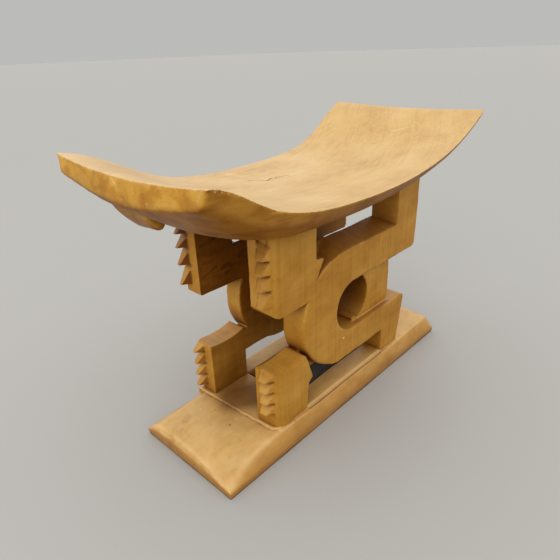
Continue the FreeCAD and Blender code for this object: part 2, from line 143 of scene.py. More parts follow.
def joined_copy(node):
    """A CAD node's surface as one closed mesh."""
    surface = bmesh.new()
    surface.from_mesh(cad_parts[node].data)
    bmesh.ops.remove_doubles(surface, verts=surface.verts, dist=WELD)
    return surface


def tree_of(nodes):
    """Search tree over the surfaces of some CAD nodes."""
    points = []
    faces = []
    for node in nodes:
        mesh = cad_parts[node].data
        first = len(points)
        points += [vertex.co.copy() for vertex in mesh.vertices]
        faces += [[first + index for index in face.vertices] for face in mesh.polygons]
    return BVHTree.FromPolygons(points, faces)


def lengthen(surface, nodes, direction):
    """Push the faces that lie on the neighbours some way into them."""
    tree = tree_of(nodes)

    def touches(vertex):
        return tree.find_nearest(vertex.co, CONTACT_GAP)[0] is not None

    touching = {vertex for vertex in surface.verts if touches(vertex)}
    faces = [face for face in surface.faces
             if face.normal.dot(direction) > CONTACT_FACING and touching.issuperset(face.verts)]
    if not faces:
        raise ValueError(f"nothing lies on {nodes} towards {tuple(direction)}")
    grown = bmesh.ops.extrude_face_region(surface, geom=faces)["geom"]
    moved = [item for item in grown if isinstance(item, bmesh.types.BMVert)]
    bmesh.ops.translate(surface, verts=moved, vec=direction * OVERLAP)


def sharp_edges(surface):
    """Search tree over points spaced along the sharp edges of a shape."""
    places = []
    for edge in surface.edges:
        if edge.is_manifold and edge.calc_face_angle() > SHARP_ANGLE:
            start, end = (vertex.co for vertex in edge.verts)
            steps = max(1, math.ceil((end - start).length / EDGE_STEP))
            places += [start.lerp(end, step / steps) for step in range(steps + 1)]
    tree = KDTree(len(places))
    for index, place in enumerate(places):
        tree.insert(place, index)
    tree.balance()
    return tree


def draw_to_edges(mesh, tree, reach):
    """Move the points closer than reach to a sharp edge onto it, and fold the faces along it."""
    points = points_of(mesh)
    drawn = np.zeros(len(points), bool)
    for index, point in enumerate(points):
        place, _, distance = tree.find(point)
        if distance is not None and distance < reach:
            points[index] = place
            drawn[index] = True
    move_points(mesh, points)
    surface = bmesh.new()
    surface.from_mesh(mesh)
    for face in list(surface.faces):
        fold_along_edge(face, drawn)
    bmesh.ops.dissolve_degenerate(surface, dist=SLIVER * reach, edges=surface.edges)
    surface.to_mesh(mesh)
    surface.free()


def fold_along_edge(face, drawn):
    """Split a four-sided face between its two corners that lie on a sharp edge."""
    corners = list(face.verts)
    off_edge = [index for index, corner in enumerate(corners) if not drawn[corner.index]]
    across_it = len(off_edge) == 1 or len(off_edge) == 2 and off_edge[1] - off_edge[0] == 2
    if len(corners) == 4 and across_it:
        bmesh.utils.face_split(face, corners[off_edge[0] - 1], corners[(off_edge[0] + 1) % 4])


def remeshed(surface, name, voxel):
    """The same shape in small, even faces."""
    edges = sharp_edges(surface)
    coarse = bpy.data.meshes.new(name)
    surface.to_mesh(coarse)
    surface.free()
    piece = bpy.data.objects.new(name, coarse)
    bpy.context.scene.collection.objects.link(piece)
    modifier = piece.modifiers.new("voxels", "REMESH")
    modifier.mode = "VOXEL"
    modifier.voxel_size = voxel
    modifier.use_smooth_shade = True
    bpy.context.view_layer.update()
    fine = bpy.data.meshes.new_from_object(piece.evaluated_get(bpy.context.evaluated_depsgraph_get()))
    piece.modifiers.clear()
    piece.data = fine
    bpy.data.meshes.remove(coarse)
    fine.name = name
    draw_to_edges(fine, edges, EDGE_REACH * voxel)
    return piece


def points_of(mesh):
    flat = np.empty(len(mesh.vertices) * 3)
    mesh.vertices.foreach_get("co", flat)
    return flat.reshape(-1, 3)


def normals_of(mesh):
    flat = np.empty(len(mesh.vertices) * 3, np.float32)
    mesh.vertex_normals.foreach_get("vector", flat)
    return flat.reshape(-1, 3).astype(float)


def edges_of(mesh):
    flat = np.empty(len(mesh.edges) * 2, np.int32)
    mesh.edges.foreach_get("vertices", flat)
    return flat.reshape(-1, 2)


def move_points(mesh, points):
    mesh.vertices.foreach_set("co", points.astype(np.float32).ravel())
    mesh.update()


def worn(points, edges, strength, rounds):
    """Pull every point towards its neighbours. strength is one number per point."""
    first, second = edges.T
    count = np.bincount(edges.ravel(), minlength=len(points))
    for _ in range(rounds):
        for axis in range(3):
            values = points[:, axis]
            total = np.bincount(first, values[second], len(points))
            total += np.bincount(second, values[first], len(points))
            points[:, axis] = values + strength * (total / count - values)
    return points


def store(mesh, name, values):
    """Keep one number per point for the material."""
    mesh.attributes.new(name, "FLOAT", "POINT").data.foreach_set("value", values.astype(np.float32))


# Where little light comes in, so shade is painted there: faces that look at the middle plane, by how
# squarely they do so, by height and by how far they are from the open end without teeth
LOOKS_INWARD = (0.2, 0.7)
SHADE_NEAR_FLOOR = 0.28
SHADE_HEIGHTS = (60 * MM, 165 * MM)
SHADE_AT_OPEN_END = 0.2
OPEN_END_X = (75 * MM, 10 * MM)

# The hole is longer than it is high by twice the stretch. Shade is painted on its wall behind the outer
# faces, except where it looks up.
HOLE_STRETCH = 5.4 * MM
HOLE_SHADE = 0.55
ALONG_THE_HOLE = (0.6, 0.3)
HOLE_LOOKS_UP = (0.9, 0.2)
HOLE_DEPTH_Y = (72 * MM, 50 * MM)


def facing_middle(points, normals):
    """Up to 1 where a face looks at the stool's upright middle plane, less near the floor and
    less at the end without teeth, where light comes in."""
    looks_in = ramp(-normals[:, 1] * np.sign(points[:, 1]), *LOOKS_INWARD)
    by_height = blend(SHADE_NEAR_FLOOR, 1, ramp(points[:, 2], *SHADE_HEIGHTS))
    return looks_in * by_height * blend(SHADE_AT_OPEN_END, 1, ramp(points[:, 0], *OPEN_END_X))


def in_hole(points, normals):
    """Up to 1 on the wall of the hole through the side panels, deeper inside."""
    low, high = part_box("near_filler")
    radius = (high[2] - low[2]) / 2
    centre_z = (high[2] + low[2]) / 2
    beside = np.hypot(points[:, 0] - low[0] + HOLE_STRETCH, points[:, 2] - centre_z)
    inside = ramp(beside, radius + 2 * HOLE_STRETCH, radius + HOLE_STRETCH)
    on_wall = ramp(np.abs(normals[:, 1]), *ALONG_THE_HOLE)
    shaded = ramp(normals[:, 2], *HOLE_LOOKS_UP) * ramp(np.abs(points[:, 1]), *HOLE_DEPTH_Y)
    return HOLE_SHADE * inside * on_wall * shaded


def carve(piece, member):
    """Round the edges, tool the faces, and keep where the edges were worn for the material."""
    mesh = piece.data
    sharp = points_of(mesh)
    strength = member.softness(sharp, normals_of(mesh))
    soft = worn(sharp.copy(), edges_of(mesh), strength, member.rounds)
    move_points(mesh, soft)
    normals = normals_of(mesh)
    wear = ((sharp - soft) * normals).sum(axis=1) / MM
    depth = member.tooling(soft, normals)
    move_points(mesh, soft - normals * depth[:, None])
    store(mesh, "wear", wear)
    # How much shade to paint on faces that look inward and on the wall of the hole, kept for the
    # material
    shade = np.maximum(facing_middle(soft, normals), in_hole(soft, normals))
    store(mesh, "inner_painted_shade", shade * member.inner_shade)


# ---------------------------------------------------------------- cracks, scars and scuffs

@dataclass
class Mark:
    """A damaged place along a line of points, in millimetres. The line is width wide and depth
    deep. tone runs from -1, dark, to 1, pale."""
    points: tuple
    width: float
    tone: float
    depth: float = 0.0

    def segments(self):
        """Pairs of end points in metres. A single point is a round spot."""
        places = [tuple(value * MM for value in point) for point in self.points]
        return list(zip(places, places[1:])) or [(places[0], places[0])]


SEAT_MARKS = [
    # Crack in the middle of the top
    Mark(((-47, 63, 308), (-31, 45, 307), (-20, 49, 307), (-10, 48, 307), (8, 42, 307)), 1.5, -1.0, 1.0),
    Mark(((-31, 45, 307), (-14, 41, 307), (10, 32, 307)), 1.2, -0.8, 0.5),
    Mark(((-52, 80, 309), (-40, 70, 308)), 1.0, -0.4),
    # Scratched corner at the near toothed end
    Mark(((-259, -121, 372), (-250, -122, 369)), 2.6, 0.25),
    Mark(((-255, -124, 370), (-253, -126, 363)), 1.0, 0.4),
    Mark(((-248, -124, 368), (-246, -126, 361)), 1.0, 0.35),
    Mark(((-242, -124, 366), (-240, -126, 360)), 0.9, 0.3),
    Mark(((-251, -124, 369), (-249, -126, 361)), 0.9, -0.4),
    Mark(((-264, -119, 366), (-266, -118, 356), (-266, -117, 351)), 1.8, 0.22),
    # Nicks and scratches on the near side
    Mark(((-193, -125, 340), (-191, -125, 338)), 1.8, -0.8, 1.0),
    Mark(((-210, -123, 341), (-210, -119, 328)), 1.0, 0.5, 0.4),
    # Long scar on the toothed end
    Mark(((-265, 49, 365), (-265, 16, 366), (-265, 4, 359)), 1.3, 0.40, 0.5),
    Mark(((-222, 110, 358), (-217, 100, 355)), 1.2, -0.3),
    # Brown places on the toothed end, and two pale specks
    Mark(((-268, -48, 350),), 2.0, 0.4),
    Mark(((-268, -59, 349),), 1.6, 0.4),
    Mark(((-267, 30, 352), (-267, 70, 352)), 17, -0.22),
    Mark(((-267, -6, 360), (-267, -16, 345)), 8, -0.20),
    Mark(((-267, -40, 363), (-267, -44, 352)), 6, -0.16),
    Mark(((-266, -105, 362), (-267, -112, 352)), 9, -0.14),
    # Pale scuffs on the top
    Mark(((-45, 108, 310), (-40, 104, 310)), 3.0, 0.5),
    Mark(((184, -9, 347), (194, -30, 351)), 2.5, 0.3),
    Mark(((181, 104, 346),), 3.0, 0.4),
    Mark(((-90, -60, 312), (-20, -75, 309)), 14, 0.10),
    Mark(((-150, 10, 323), (-95, 25, 314)), 14, 0.10),
]
PANEL_MARKS = [
    # Chips
    Mark(((-14.5, -72.5, 104), (-12.5, -72.5, 104)), 1.8, 0.8, 0.8),
    Mark(((-150, -64, 36), (-149, -62, 37)), 2.0, 1.0, 0.5),
    # Cut in the front of the near lower block and cracks beside the teeth of the upper one
    Mark(((-149, -44, 113), (-149, -49, 107), (-149, -50, 101)), 1.0, -0.8, 0.8),
    Mark(((-149, -54, 113), (-149, -50, 107)), 1.0, -0.8, 0.8),
    Mark(((-146, -72.5, 241), (-138, -73, 240)), 0.9, -0.5),
    Mark(((-146, -72.5, 222), (-139, -73, 221)), 0.9, -0.5),
    # Torn wood above the teeth of the near upper block
    Mark(((-143, -64, 290), (-144, -63, 270)), 2.6, -0.35, 0.6),
    Mark(((-147, -43, 284), (-147, -48, 268), (-147, -47, 260)), 1.0, -0.5, 0.5),
    Mark(((-147, -40, 272), (-147, -46, 258)), 0.9, -0.35, 0.4),
    # Gouges and torn grain on the inner face of the far panel
    Mark(((-152, 41, 253), (-137, 41, 255), (-118, 41, 262)), 2.6, -0.30, 0.6),
    Mark(((-153, 41, 211), (-142, 41, 214), (-130, 41, 220)), 2.4, -0.25, 0.5),
    Mark(((-122, 41, 214), (-112, 41, 217), (-104, 41, 213)), 3.4, -0.40, 0.8),
    Mark(((-116, 41, 206), (-104, 41, 209)), 2.6, -0.30, 0.5),
    Mark(((-93, 41, 222), (-84, 41, 227), (-75, 41, 229)), 2.8, -0.35, 0.7),
    Mark(((-151, 41, 230), (-135, 41, 228)), 2.0, -0.20, 0.4),
]
BASE_MARKS = [
    # Specks and smudges on the toothed end
    Mark(((-174, 19, 32),), 1.6, -0.7),
    Mark(((-180, -17, 31),), 2.2, -0.8),
    Mark(((-237, 12, 24),), 2.4, -0.8),
    Mark(((-195, 2, 31),), 1.1, -0.6),
    Mark(((-188, -38, 31),), 1.2, -0.6),
    Mark(((-205, -22, 30),), 1.0, -0.5),
    Mark(((-222, -30, 28),), 1.3, -0.5),
    Mark(((-211, 35, 30), (-205, 38, 30)), 8, -0.22),
    Mark(((-174, -28, 31), (-182, -10, 31)), 14, -0.14),
    # Painted shade, with some dirt, on the plinth between the lower blocks
    Mark(((-138, 12, 35), (-112, -5, 35), (-102, -30, 35)), 40, -0.85),
    # Pale specks and a pale patch on the toothed end
    Mark(((-167, -16, 32),), 1.8, 0.7),
    Mark(((-185, 36, 31),), 1.6, 0.6),
    Mark(((-222, -58, 27), (-206, -66, 27)), 11, 0.14),
    # Dark lines along the foot of the plinth's front and along its top
    Mark(((-161.5, 68, 32), (-153.5, -66, 32)), 1.8, -0.45),
    Mark(((-156, 40, 35), (-152, -37, 35)), 1.6, -0.35),
    # Flats knocked into the toothed end's edge
    Mark(((-238, -68, 15), (-237, -50, 20)), 6.0, 0.0, 1.1),
    Mark(((-237, 34, 23), (-237, 52, 22)), 6.0, 0.0, 1.1),
    Mark(((-236, -38, 23), (-236, -28, 24)), 4.5, 0.15, 0.9),
]
# The middle of a mark has its full depth and tone. Its lines waver by this much over this length.
MARK_EDGE = 0.35
WAVER = 2.0 * MM
WAVER_LENGTH = 6 * MM
TINY = 1e-12


def closeness(points, mark):
    """1 on the line of a mark, falling to 0 at its edge, for many points."""
    nearest = np.full(len(points), np.inf)
    for start, end in mark.segments():
        along = np.array(end) - np.array(start)
        share = np.clip((points - start) @ along / max(along @ along, TINY), 0, 1)
        foot = start + share[:, None] * along
        nearest = np.minimum(nearest, np.linalg.norm(points - foot, axis=1))
    return ramp(nearest, mark.width * MM, MARK_EDGE * mark.width * MM)


def dents(points, marks):
    """How deep the marks are cut at each point."""
    deep = [mark for mark in marks if mark.depth]
    return sum((closeness(points, mark) * mark.depth * MM for mark in deep), np.zeros(len(points)))


# ---------------------------------------------------------------- how each member is worn and tooled

# Softness is how far wear draws a point to its neighbours in each round, from 0 to 1
HAND_WORN_PATCH = 35 * MM
HAND_WORN_DETAIL = 12 * MM
HAND_WORN_SPREAD = (-0.6, 0.9)
PANEL_WEAR = (0.06, 0.3)
RING_WEAR = (0.03, 0.12)
BOW_WEAR = 0.5
BOW_X = (-30 * MM, -62 * MM)
BOW_Y = (50 * MM, 58 * MM)
LOOKS_UP = 0.7
RIM_WEAR = 0.02
SEAT_WEAR = 0.5
BELOW_RIM = (1.5 * MM, 5 * MM)
LUG_WEAR = 0.4
BASE_WEAR = 0.5
BASE_CRISP_WEAR = 0.03
PLINTH_EDGE_Z = (24 * MM, 27 * MM)
PLINTH_EDGE_X = (-168 * MM, -161 * MM)
BASE_RIM_Z = (14 * MM, 9 * MM)
CORE_WEAR = 0.15


def even(amount):
    """The same softness everywhere."""
    return lambda points, normals: np.full(len(points), amount)


def hand_worn(points, low, high):
    """Edges that are crisp in some places and soft in others."""
    patches = noise(points, HAND_WORN_PATCH, seed=11)
    details = noise(points, HAND_WORN_DETAIL, seed=12)
    return blend(low, high, ramp(patches + details / 2, *HAND_WORN_SPREAD))


def panel_softness(points, normals):
    """Hand-worn edges all over."""
    return hand_worn(points, *PANEL_WEAR)


def ring_softness(points, normals):
    """The bow of the ring is worn round on its outer side."""
    bow = ramp(points[:, 0], *BOW_X) * ramp(np.abs(points[:, 1]), *BOW_Y)
    return np.maximum(BOW_WEAR * bow, hand_worn(points, *RING_WEAR))


def top_of(node):
    """Search tree over the faces of a CAD node that look up."""
    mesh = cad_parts[node].data
    faces = [tuple(face.vertices) for face in mesh.polygons if face.normal.z > LOOKS_UP]
    return BVHTree.FromPolygons([vertex.co for vertex in mesh.vertices], faces)


def seat_softness(points, normals):
    """The rim of the top stays crisp. The corners and everything lower are worn round."""
    top = top_of("seat")
    below_top = np.array([top.find_nearest(point)[3] for point in points])
    return blend(RIM_WEAR, SEAT_WEAR, ramp(below_top, *BELOW_RIM))


def base_softness(points, normals):
    """The plinth's edges and the board's lower rim stay crisp."""
    plinth_edge = ramp(points[:, 2], *PLINTH_EDGE_Z) * ramp(points[:, 0], *PLINTH_EDGE_X)
    rim = ramp(points[:, 2], *BASE_RIM_Z)
    return blend(BASE_WEAR, BASE_CRISP_WEAR, np.maximum(plinth_edge, rim))


@dataclass
class Cuts:
    """Tool marks side by side, in millimetres: the size of one along X, Y and Z, and its depth."""
    size: tuple
    depth: float
    seed: int

    def ridges(self, points):
        """How far the ridges between the cuts stand out at each point."""
        return self.depth * MM * scallops(points, np.array(self.size) * MM, self.seed)


PARING_CUTS = Cuts((9, 60, 34), 0.22, 21)
SEAT_CUTS = Cuts((46, 20, 60), 0.12, 31)
BASE_CUTS = Cuts((30, 26, 40), 0.3, 41)

# Under the seat the cuts are this many times as deep as on top
UNDER_CUTS_DEEPER = 4.75
UNDER_FACING = (0.3, -0.3)

# Torn wood on inner faces, the core's set back, and where the flat underside passes into the sides
TORN_SIZE = np.array([30, 14, 7]) * MM
TORN_DEPTH = 0.5 * MM
CORE_SETBACK = 0.4 * MM
FLAT_UNDERSIDE_Z = (1 * MM, 6 * MM)

# Height, length and seed of the waves in a shape cut by eye
WAVES = ((0.7 * MM, 70 * MM, 1), (0.3 * MM, 27 * MM, 2))


def wobble(points):
    """The unevenness of a shape cut by eye."""
    return sum(height * noise(points, length, seed) for height, length, seed in WAVES)


def panel_tooling(points, normals):
    """Upright paring cuts on the outer faces, slanting chisel cuts on the inner ones."""
    torn = TORN_DEPTH * facing_middle(points, normals) * noise(points, TORN_SIZE, seed=22)
    return wobble(points) - PARING_CUTS.ridges(points) + torn + dents(points, PANEL_MARKS)


def core_tooling(points, normals):
    """As the panels, but set back a little, so that inside the panels their own walls show."""
    return panel_tooling(points, normals) + CORE_SETBACK


def seat_tooling(points, normals):
    """Shallow cuts on top, deeper ones underneath."""
    deeper = blend(1, UNDER_CUTS_DEEPER, ramp(normals[:, 2], *UNDER_FACING))
    return wobble(points) - deeper * SEAT_CUTS.ridges(points) + dents(points, SEAT_MARKS)


def base_tooling(points, normals):
    """Tool marks everywhere except on the flat underside that the stool stands on."""
    depth = wobble(points) - BASE_CUTS.ridges(points) + dents(points, BASE_MARKS)
    return depth * ramp(points[:, 2], *FLAT_UNDERSIDE_Z)


# ---------------------------------------------------------------- wood

@dataclass
class Look:
    """How one part of the block looks. Colours are linear; strengths are shares of the tone."""
    pale: tuple
    middle: tuple
    dark: tuple
    # The next two tint faces that look sideways and down: painted shade, and on the ends partly darker
    # end grain
    side: tuple
    under_shade: tuple
    figure: float
    fibre: float
    bands: float
    blotches: float
    mottle: float
    roughness: float
    side_shine: float
    stain: float
    marks: list


LOOKS = {
    "seat_wood": Look(
        pale=(0.72, 0.505, 0.225), middle=(0.63, 0.405, 0.148), dark=(0.46, 0.25, 0.075),
        side=(0.88, 0.72, 0.28), under_shade=(0.50, 0.37, 0.19),
        figure=0.10, fibre=0.22, bands=0.03, blotches=0.34, mottle=0.12,
        roughness=0.42, side_shine=0.12, stain=0.9, marks=SEAT_MARKS),
    # Darker and warmer than the seat: partly the panels' own colour, partly painted shade
    "panel_wood": Look(
        pale=(0.60, 0.345, 0.070), middle=(0.47, 0.228, 0.030), dark=(0.31, 0.125, 0.012),
        side=(0.94, 0.92, 0.88), under_shade=(0.62, 0.50, 0.42),
        figure=0.03, fibre=0.05, bands=0.17, blotches=0.36, mottle=0.12,
        roughness=0.46, side_shine=0.12, stain=0.25, marks=PANEL_MARKS),
    "base_wood": Look(
        pale=(0.72, 0.475, 0.20), middle=(0.62, 0.375, 0.122), dark=(0.42, 0.22, 0.056),
        side=(0.82, 0.72, 0.54), under_shade=(0.60, 0.48, 0.36),
        figure=0.04, fibre=0.09, bands=0.05, blotches=0.34, mottle=0.16,
        roughness=0.44, side_shine=0.22, stain=0.2, marks=BASE_MARKS),
}

# Colours that tint the wood: painted shade in tight corners and in recesses, stains, scars and bare wood
CORNER_SHADE = (0.36, 0.21, 0.11)
RECESS_SHADE = (0.42, 0.27, 0.13)
STAIN = (0.74, 0.62, 0.42)
SCARRED = (0.30, 0.20, 0.13)
BARE = (0.80, 0.64, 0.38)

# Moves noises with different seeds apart, and how much their finer detail counts
SEED_STEPS = (3.7, 1.3, 7.1)
NOISE_ROUGHNESS = 0.55

# Growth rings lie around the tree's heart, drawn out along X, and waver with the warp
PITH = (0.0, -0.35, 0.62)
RING_STEP = 3.5 * MM
RING_STRETCH = (0.06, 1.0, 1.0)
RING_WARP = 0.035
RING_DETAIL = 2.5
RING_ROUGHNESS = 0.6


@dataclass
class Patches:
    """Cloudy noise: the length of a patch along X, Y and Z in metres, a seed, and its detail."""
    lengths: tuple
    seed: int
    detail: float


WARP = Patches((0.16, 0.09, 0.09), 3, 2.0)
FIBRE = Patches((0.09, 1.6 * MM, 1.6 * MM), 5, 4.0)
TOOL_BANDS = Patches((5 * MM, 0.30, 0.16), 7, 3.0)
BLOTCHES = Patches((0.075, 0.055, 0.06), 9, 4.0)
MOTTLE = Patches((0.016, 0.010, 0.011), 17, 3.0)
STAINED = Patches((0.045, 0.03, 0.018), 19, 4.0)
RUBBED = Patches((0.03, 0.03, 0.03), 13, 3.0)
TORN_STREAKS = Patches((0.034, 0.020, 0.008), 15, 4.0)

# How strongly the fields move the tone, and the tones at which the wood is dark, middle and pale
TONE_CONTRAST = 2.6
DARK_AT = 0.12
MIDDLE_AT = 0.5
PALE_AT = 0.90

# How far up a face looks, from 1 to -1, where one look passes into the next, such as the painted shade
# of sides and undersides
TOP_TO_SIDE = (0.85, 0.40)
SIDE_TO_UNDER = (0.05, -0.65)
RUBBED_FACING = (-0.1, 0.35)
SHINY_FACING = (0.3, 0.9)
TOP_SHINE = 0.50

# Where noise turns into stains, rubbed places and torn streaks, and how strong those are
STAINED_SPREAD = (0.45, 0.62)
STAIN_ON_TOP = 0.15
RUBBED_SPREAD = (0.35, 0.6)
RUBBED_WEAR = (0.12, 0.8)
RUBBED_SHARE = 0.5
STREAK_SPREAD = (0.40, 0.66)
STREAK_TONE = 0.72
# How strongly the painted shade of inner faces darkens them and lets their torn streaks show
INNER_SHARE = 0.94

# How open the air is within reach where the painted shade of a recess, and of a tight corner, starts and
# is full
RECESS_REACH = 85 * MM
RECESS_AIR = (0.82, 0.30)
RECESS_SHARE = 0.95
CORNER_SHADE_REACH = 8 * MM
CORNER_SHADE_AIR = (0.70, 0.25)
CORNER_SHADE_SHARE = 0.8

# Fine relief, and how much rougher dark wood and smoother pale wood is than its look says
RELIEF_STRENGTH = 0.35
RELIEF_DEPTH = 0.6 * MM
ROUGHER = 0.08
SMOOTHER = 0.06


class Graph:
    """The node tree of one material or world, with the position in metres as its ground."""

    def __init__(self, owner):
        owner.use_nodes = True
        self.tree = owner.node_tree
        self.tree.nodes.clear()
        self.place = self.add("ShaderNodeTexCoord").outputs["Object"]

    def add(self, kind, inputs=None, **settings):
        """Add a node. inputs maps socket names or numbers to values or to other sockets."""
        node = self.tree.nodes.new(kind)
        for name, value in settings.items():
            setattr(node, name, value)
        for key, value in (inputs or {}).items():
            if isinstance(value, bpy.types.NodeSocket):
                self.tree.links.new(value, node.inputs[key])
            else:
                node.inputs[key].default_value = value
        return node

    def maths(self, operation, first, second=0.0):
        return self.add("ShaderNodeMath", {0: first, 1: second}, operation=operation).outputs[0]

    def spread(self, value, low, high, to_low=0.0, to_high=1.0):
        """Carry the range low to high over to another range, eased and clamped."""
        inputs = {"Value": value, "From Min": low, "From Max": high, "To Min": to_low, "To Max": to_high}
        return self.add("ShaderNodeMapRange", inputs, interpolation_type="SMOOTHSTEP").outputs["Result"]

    def noise(self, patches):
        """Cloudy noise from 0 to 1. Its seed moves it to a place of its own."""
        scale = tuple(1 / length for length in patches.lengths)
        location = tuple(patches.seed * step for step in SEED_STEPS)
        moved = self.add("ShaderNodeMapping", {"Vector": self.place, "Scale": scale,
                                               "Location": location})
        inputs = {"Vector": moved.outputs[0], "Scale": 1.0, "Detail": patches.detail,
                  "Roughness": NOISE_ROUGHNESS}
        return self.add("ShaderNodeTexNoise", inputs).outputs[0]

    def open_air(self, reach, samples):
        """How much of the air within reach of a point is open, from 0 to 1."""
        node = self.add("ShaderNodeAmbientOcclusion", {"Distance": reach}, samples=samples)
        return node.outputs["AO"]

    def attribute(self, name):
        return self.add("ShaderNodeAttribute", attribute_name=name).outputs["Fac"]

    def vector(self, operation, first, second=(0, 0, 0)):
        return self.add("ShaderNodeVectorMath", {0: first, 1: second}, operation=operation).outputs[0]

    def distance_to(self, place, start, end):
        """How far a place is from the line between two points."""
        along = Vector(end) - Vector(start)
        away = self.vector("SUBTRACT", place, tuple(start))
        along_it = self.add("ShaderNodeVectorMath", {0: away, 1: tuple(along)},
                            operation="DOT_PRODUCT").outputs["Value"]
        share = self.add("ShaderNodeMath", {0: along_it, 1: max(along.length_squared, TINY)},
                         operation="DIVIDE", use_clamp=True).outputs[0]
        foot = self.add("ShaderNodeVectorMath", {0: tuple(along), 3: share},
                        operation="SCALE").outputs[0]
        return self.add("ShaderNodeVectorMath", {0: self.vector("SUBTRACT", away, foot)},
                        operation="LENGTH").outputs["Value"]

    def blend(self, share, first, second, blend_type="MIX"):
        """Colour mix of two colours or sockets."""
        inputs = {0: share}
        for key, value in ((6, first), (7, second)):
            inputs[key] = (*value, 1) if isinstance(value, tuple) else value
        return self.add("ShaderNodeMix", inputs, data_type="RGBA", blend_type=blend_type).outputs[2]


def ring_figure(graph):
    """Growth rings around the tree's heart, above the stool's near side."""
    warp = graph.noise(WARP)
    shifted = graph.vector("SUBTRACT", graph.place, PITH)
    flat = graph.vector("MULTIPLY", shifted, RING_STRETCH)
    radius = graph.add("ShaderNodeVectorMath", {0: flat}, operation="LENGTH").outputs["Value"]
    wandering = graph.maths("ADD", radius, graph.maths("MULTIPLY", warp, RING_WARP))
    rings = graph.add("ShaderNodeTexNoise", {"W": graph.maths("DIVIDE", wandering, RING_STEP),
                                             "Scale": 1.0, "Detail": RING_DETAIL,
                                             "Roughness": RING_ROUGHNESS},
                      noise_dimensions="1D")
    return rings.outputs[0]


def marked(graph, colour, marks):
    """Tint the marks. Their lines waver a little."""
    waver = graph.add("ShaderNodeTexNoise", {"Vector": graph.place, "Scale": 1 / WAVER_LENGTH})
    centred = graph.vector("SUBTRACT", waver.outputs["Color"], (0.5, 0.5, 0.5))
    place = graph.vector("ADD", graph.place, graph.vector("MULTIPLY", centred, (WAVER,) * 3))
    for mark in marks:
        lines = [graph.distance_to(place, start, end) for start, end in mark.segments()]
        nearest = functools.reduce(lambda one, other: graph.maths("MINIMUM", one, other), lines)
        width = mark.width * MM
        share = graph.spread(nearest, width, MARK_EDGE * width, 0.0, abs(mark.tone))
        if mark.tone < 0:
            colour = graph.blend(share, colour, SCARRED, "MULTIPLY")
        else:
            colour = graph.blend(share, colour, BARE)
    return colour


def toned(graph, fields):
    """The tone of the wood from 0 to 1: one half, with a share of every field around it."""
    tone = 0.5
    for field, share in fields:
        centred = graph.maths("SUBTRACT", field, 0.5)
        tone = graph.maths("ADD", tone, graph.maths("MULTIPLY", centred, share * TONE_CONTRAST))
    return tone


def coloured(graph, tone, look):
    """The tone as a colour from dark to pale."""
    colours = graph.add("ShaderNodeValToRGB", {"Fac": tone})
    stops = colours.color_ramp.elements
    stops[0].position = DARK_AT
    stops[0].color = (*look.dark, 1)
    stops[1].position = PALE_AT
    stops[1].color = (*look.pale, 1)
    stops.new(MIDDLE_AT).color = (*look.middle, 1)
    return colours.outputs[0]


def turned(graph, colour, facing, look):
    """Sides and undersides darker and warmer than the top: painted shade, and end grain on the ends.
    Stained in places.
    """
    sided = graph.blend(graph.spread(facing, *TOP_TO_SIDE), colour, look.side, "MULTIPLY")
    places = graph.spread(graph.noise(STAINED), *STAINED_SPREAD)
    strength = graph.spread(facing, *TOP_TO_SIDE, STAIN_ON_TOP * look.stain, look.stain)
    stained = graph.blend(graph.maths("MULTIPLY", places, strength), sided, STAIN, "MULTIPLY")
    return graph.blend(graph.spread(facing, *SIDE_TO_UNDER), stained, look.under_shade, "MULTIPLY")


def rubbed(graph, colour, facing, look):
    """Worn edges that hands and cloth reach are paler in places."""
    worn_away = graph.spread(graph.attribute("wear"), *RUBBED_WEAR, 0.0, RUBBED_SHARE)
    in_places = graph.maths("MULTIPLY", worn_away, graph.spread(graph.noise(RUBBED), *RUBBED_SPREAD))
    share = graph.maths("MULTIPLY", in_places, graph.spread(facing, *RUBBED_FACING))
    return graph.blend(share, colour, look.pale)


def shaded(graph, colour):
    """Inner faces and recesses get painted shade, tight corners more of it, and inner faces are
    streaked.
    """
    streaks = graph.spread(graph.noise(TORN_STREAKS), *STREAK_SPREAD, 1.0, STREAK_TONE)
    streak_colour = graph.add("ShaderNodeCombineColor", {0: streaks, 1: streaks, 2: streaks})
    inner_share = graph.maths("MULTIPLY", graph.attribute("inner_painted_shade"), INNER_SHARE)
    inner_painted_shade = graph.blend(inner_share, colour, RECESS_SHADE, "MULTIPLY")
    torn = graph.blend(inner_share, inner_painted_shade, streak_colour.outputs[0], "MULTIPLY")
    recess = graph.spread(graph.open_air(RECESS_REACH, samples=8), *RECESS_AIR, 0.0, RECESS_SHARE)
    recessed = graph.blend(recess, torn, RECESS_SHADE, "MULTIPLY")
    corner_shade = graph.spread(graph.open_air(CORNER_SHADE_REACH, samples=6), *CORNER_SHADE_AIR, 0.0, CORNER_SHADE_SHARE)
    return graph.blend(corner_shade, recessed, CORNER_SHADE, "MULTIPLY")


